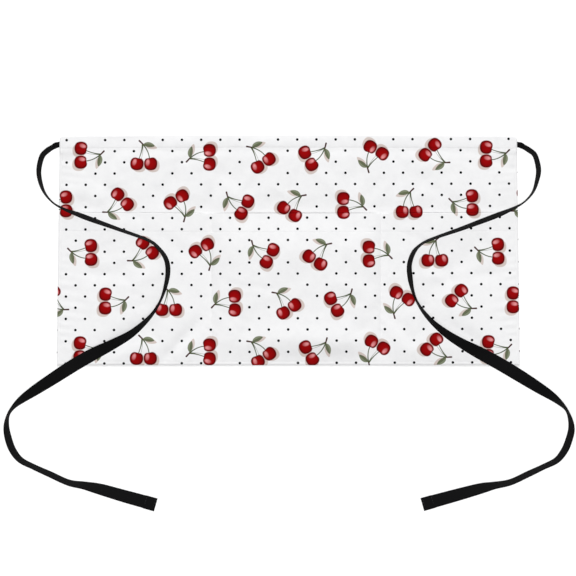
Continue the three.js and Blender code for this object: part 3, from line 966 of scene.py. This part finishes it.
def tieLine(side, route):
    # plan, roll and distance of every station, and how high the cloth holds its lower edge
    edge = side * seatEdge
    sewn = (edge - side * seat["length"], seatY, flatRoll)
    exitPoint = (edge + side * tape["exit"], seatY, flatRoll)
    corners = [sewn, exitPoint] + [(x * mm, y * mm, roll) for x, y, roll in route]
    dense = smoothRoute(corners, tapeCount["bends"])
    inSeam = tapeCount["bends"] + 1
    dense[:inSeam, 0] = np.linspace(sewn[0], exitPoint[0], inSeam)
    dense[:inSeam, 1] = seatY
    dense[:, 2] = np.minimum(dense[:, 2], flatRoll)
    dense[:inSeam, 2] = flatRoll
    head = dense[-1, :2] - dense[-2, :2]
    head /= np.linalg.norm(head)
    end = np.append(dense[-1, :2] + head * tape["endHem"], dense[-1, 2])
    line = evenStations(np.vstack([dense, end]), tape["station"])
    heading = np.gradient(line[:, :2], axis=0)
    heading /= np.linalg.norm(heading, axis=1)[:, None]
    roll = np.radians(line[:, 2])
    reach = tape["width"] / 2 * np.abs(np.cos(roll)) + tape["wall"] / 2
    support = np.zeros(len(line))
    for share in np.linspace(-1, 1, tapeCount["across"]):
        x = line[:, 0] - heading[:, 1] * reach * share
        y = line[:, 1] + heading[:, 0] * reach * share
        support = np.maximum(support, clothHeight(x, y))
    outside = np.arange(len(line)) * tape["station"] > seat["length"] + tape["exit"]
    support = np.where(outside, support, 0)
    support = np.maximum(softened(support, tapeCount["support"]), support)
    support = np.where(outside, support, seat["bottom"])
    return line, heading, roll, support


def tubeFaces(first, count, ring):
    # a closed tube through rings of points that follow one another
    faces = []
    for start in range(first, first + (count - 1) * ring, ring):
        for k in range(ring):
            a, b = start + k, start + (k + 1) % ring
            faces.append((a, b, b + ring, a + ring))
    last = first + (count - 1) * ring
    return faces + [tuple(range(first, first + ring))[::-1], tuple(range(last, last + ring))]


def makeTie(name, side, route):
    line, heading, roll, support = tieLine(side, route)
    count = len(line)
    distance = np.arange(count) * tape["station"]
    toEnd = distance[-1] - distance
    doubled = 1 - ramp(tape["endHem"] - tape["endFade"], tape["endHem"] + tape["endFadeOut"], toEnd)
    thick = tape["wall"] / 2 * (1 + (tapeShare["endThicker"] - 1) * doubled)
    fromSeam = distance - seat["length"] - tape["exit"]
    gatherReach = np.where(fromSeam < 0, tapeShare["gatherInside"], 1) * tape["gatherReach"]
    gathered = tapeShare["gather"] * np.exp(-(fromSeam / gatherReach) ** 2)
    wide = tape["width"] / 2 * (1 - gathered) + tape["endWider"] * doubled
    inward = np.column_stack([heading[:, 1], -heading[:, 0]]) * side
    across = np.column_stack([inward * np.cos(roll)[:, None], np.sin(roll)])
    normal = np.cross(np.column_stack([heading, np.zeros(count)]), across)
    lift = wide * np.abs(across[:, 2]) + thick * np.abs(normal[:, 2])
    centre = np.column_stack([line[:, :2], support + lift])
    rings = [centre + across * (w * wide)[:, None] + normal * (n * thick)[:, None] for w, n in tapeSection]
    points = np.stack(rings, axis=1).reshape(-1, 3)
    uv = np.stack([np.column_stack([w * wide, distance]) for w, n in tapeSection], axis=1).reshape(-1, 2)
    faces = tubeFaces(0, count, len(tapeSection))
    tie = makeMesh(name, points, faces, [blackTape], "tape", uv)
    pathLength = float(np.linalg.norm(np.diff(centre, axis=0), axis=1).sum())
    ends = {"centre": centre, "across": across, "normal": normal, "thick": thick}
    return tie, ends, pathLength


leftTie, leftEnds, leftLength = makeTie("leftTie", -1, leftRoute)
rightTie, rightEnds, rightLength = makeTie("rightTie", 1, rightRoute)
print("ties made", round(leftLength, 3), round(rightLength, 3))

backPanel = makeBackPanel()
pocketPanel = makePocketPanel()
print("cloth made", len(backPanel.data.polygons), len(pocketPanel.data.polygons))


# Stitches: short threads that dip into the cloth at both ends.
def stitchRow(start, end, heightAt, upright):
    # a straight row: the plan place and direction of each stitch, and the face that it lies on
    run = np.array(end) - np.array(start)
    span = np.linalg.norm(run)
    count = int(span / stitch["pitch"])
    middles = [np.array(start) + run * (k + 0.5) / count for k in range(count)]
    return [(middle, run / span, heightAt, upright) for middle in middles]


def curvedRow(edgeAt, inset, heightAt, upright):
    # a row that keeps its distance from a curved edge
    share = np.linspace(-rowEnd, rowEnd, stitchShape["curveSteps"])
    y = edgeAt(share) - inset
    points = np.column_stack([share * halfWidthAt(y), y])
    distance = distances(points)
    count = int(distance[-1] / stitch["pitch"])
    made = []
    for k in range(count):
        at = (k + 0.5) * distance[-1] / count
        ahead = min(at + stitch["lookAhead"], distance[-1])
        here, there = placesAt(np.array([at, ahead]), distance, points)
        direction = (there - here) / np.linalg.norm(there - here)
        made.append((here, direction, heightAt, upright))
    return made


# a stitch's sections: place along it, lift and thickness; both of its ends dip into the cloth
stitchSections = [
    (-0.5, -0.9, 0.45), (-0.36, 0.25, 0.9), (0, 0.75, 1.0), (0.36, 0.25, 0.9), (0.5, -0.9, 0.45),
]


def makeStitches(name, rows, material, uvName=None):
    points = []
    faces = []
    radius = stitch["radius"]
    sides = stitchShape["sides"]
    for middle, direction, heightAt, upright in rows:
        base = len(points)
        sideways = np.array([-direction[1], direction[0]])
        for along, lift, thick in stitchSections:
            plan = middle + direction * along * stitch["length"]
            height = float(heightAt(np.array([plan[0]]), np.array([plan[1]]))[0])
            centreZ = height + upright * radius * (lift * stitchShape["rise"] - stitchShape["sink"])
            for k in range(sides):
                angle = -fullTurn * k / sides
                place = plan + sideways * cos(angle) * radius * thick
                points.append((place[0], place[1], centreZ + sin(angle) * radius * thick))
        faces += tubeFaces(base, len(stitchSections), sides)
    uvs = [printPlace(*point[:2]) for point in points] if uvName else None
    return makeMesh(name, points, faces, [material], uvName, uvs)


def sideRow(side, lowY, highY, heightAt, upright):
    low, high = [(side * (halfWidthAt(y) - stitch["sideInset"]), y) for y in (lowY, highY)]
    return stitchRow(low, high, heightAt, upright)


rowEnd = 1 - stitch["rowInset"] / halfWidth
lowestY = stitch["rowInset"] - halfHeight
topY = halfHeight - apron["waistBow"] - stitch["waistEnd"]
mouthTop = mouthY - stitch["mouthEnd"]


def seatRows(side, heightAt, upright):
    # the rectangle of stitches that holds a sewn tie end
    outer = side * (seatEdge - seat["stitchOuter"])
    inner = side * (seatEdge - seat["stitchInner"])
    low = seatY - seat["stitchLow"]
    high = seatY + seat["stitchHigh"]
    corners = [(outer, low), (outer, high), (inner, high), (inner, low), (outer, low)]
    made = []
    for a, b in zip(corners, corners[1:]):
        made += stitchRow(a, b, heightAt, upright)
    return made


backRows = curvedRow(waistLineAt, stitch["waistInset"], backFace, 1)
pocketRows = curvedRow(mouthEdgeAt, stitch["mouthInset"], pocketFace, 1)
pocketRows += curvedRow(lowerEdgeAt, -stitch["lowerInset"], pocketFace, 1)
underRows = curvedRow(waistLineAt, stitch["waistInset"], backUnder, -1)
underRows += curvedRow(lowerEdgeAt, -stitch["lowerInset"], backUnder, -1)
for side in (-1, 1):
    backRows += sideRow(side, mouthY + stitch["rowInset"], topY, backFace, 1)
    backRows += seatRows(side, backFace, 1)
    pocketRows += sideRow(side, lowestY, mouthTop, pocketFace, 1)
    underRows += sideRow(side, lowestY, topY - tape["width"] - stitch["seatMiss"], backUnder, -1)
for seam in dividers:
    pocketRows += stitchRow((seam, lowestY), (seam, mouthTop), pocketFace, 1)
    underRows += stitchRow((seam, lowestY), (seam, mouthTop), backUnder, -1)
backStitches = makeStitches("backStitches", backRows, printedCloth, "cloth")
pocketStitches = makeStitches("pocketStitches", pocketRows, printedCloth, "cloth")
underStitches = makeStitches("underStitches", underRows, whiteThread)
print("stitches made", len(backRows) + len(pocketRows) + len(underRows))


def level(height):
    return lambda x, y: np.full_like(x, height)


def tieStitches(name, side, ends):
    # black rows across the turned end, on its upper face, and the sewn rectangle behind
    rows = []
    last = len(ends["centre"]) - 1
    for back in endRows:
        i = last - int(round(back / tape["station"]))
        centre = ends["centre"][i]
        across = ends["across"][i]
        top = centre[2] + ends["thick"][i] * abs(ends["normal"][i][2])
        half = tapeShare["row"] * tape["width"]
        rows += stitchRow(centre[:2] - across[:2] * half, centre[:2] + across[:2] * half, level(top), 1)
    rows += seatRows(side, level(seat["bottom"]), -1)
    return makeStitches(name, rows, blackThread)


leftTieStitches = tieStitches("leftTieStitches", -1, leftEnds)
rightTieStitches = tieStitches("rightTieStitches", 1, rightEnds)

# Every piece hangs from the root body.
for piece, slotName in (
    (backPanel, "printed_cloth"),
    (pocketPanel, "printed_cloth"),
    (leftTie, "tape"),
    (rightTie, "tape"),
    (backStitches, "printed_cloth"),
    (pocketStitches, "printed_cloth"),
    (underStitches, "printed_cloth"),
    (leftTieStitches, "tape"),
    (rightTieStitches, "tape"),
):
    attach(piece, "root")
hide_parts("back_panel")
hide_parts("pocket_panel")
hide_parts("tie_left")
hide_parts("tie_right")

clothWidth = 2 * halfWidth
clothWidth + 6 * mm
for tie, side, ends, tieLength, stitches in (
    (leftTie, -1, leftEnds, leftLength, leftTieStitches),
    (rightTie, 1, rightEnds, rightLength, rightTieStitches),
):
    side * seatEdge
    tape["wall"] / 2

# The table and the lights. The cloth alone shades the two main lights, so that tapes on edge cast
# little shade: one from above gives the pocket mouth its line, a low one brings out the folds.
studio = {
    "tableSize": 12,
    "tableColour": (0.94, 0.94, 0.94, 1),
    "tableGlow": 0.03,
    "fill": 0.07,
    "overhead": {"energy": 1.76, "angle": 6, "tilt": (15, 0)},
    "contact": {"energy": 0.50, "angle": 24, "tilt": (10, 0)},
    "key": {"energy": 2.24, "angle": 36, "tilt": (-58, 0)},
}


def makeTable():
    bpy.ops.mesh.primitive_plane_add(size=studio["tableSize"], location=(0, 0, 0))
    table = bpy.context.object
    table.name = "table"
    table.location.z = -0.05 * mm
    material, shader = newMaterial("tableTop")
    shader.inputs["Base Color"].default_value = studio["tableColour"]
    shader.inputs["Emission Color"].default_value = (1, 1, 1, 1)
    shader.inputs["Emission Strength"].default_value = studio["tableGlow"]
    shader.inputs["Roughness"].default_value = 0.9
    shader.inputs["Specular IOR Level"].default_value = 0.1
    table.data.materials.append(material)


def makeSun(name, settings):
    sunData = bpy.data.lights.new(name, "SUN")
    sunData.energy = settings["energy"]
    sunData.angle = radians(settings["angle"])
    sun = addObject(name, sunData)
    tiltX, tiltY = settings["tilt"]
    sun.rotation_euler = (radians(tiltX), radians(tiltY), 0)
    return sun


def makeLights():
    scene = bpy.context.scene
    world = bpy.data.worlds.new("studioWorld")
    world.use_nodes = True
    background = world.node_tree.nodes["Background"]
    background.inputs["Color"].default_value = (1, 1, 1, 1)
    background.inputs["Strength"].default_value = studio["fill"]
    scene.world = world
    clothOnly = bpy.data.collections.new("clothShadows")
    clothOnly.objects.link(backPanel)
    clothOnly.objects.link(pocketPanel)
    makeSun("contactLight", studio["contact"])
    for name in ("overhead", "key"):
        sun = makeSun(name + "Light", studio[name])
        sun.light_linking.blocker_collection = clothOnly
    scene.view_settings.view_transform = "Standard"
    scene.view_settings.look = "None"


makeTable()
makeLights()
print("studio ready")
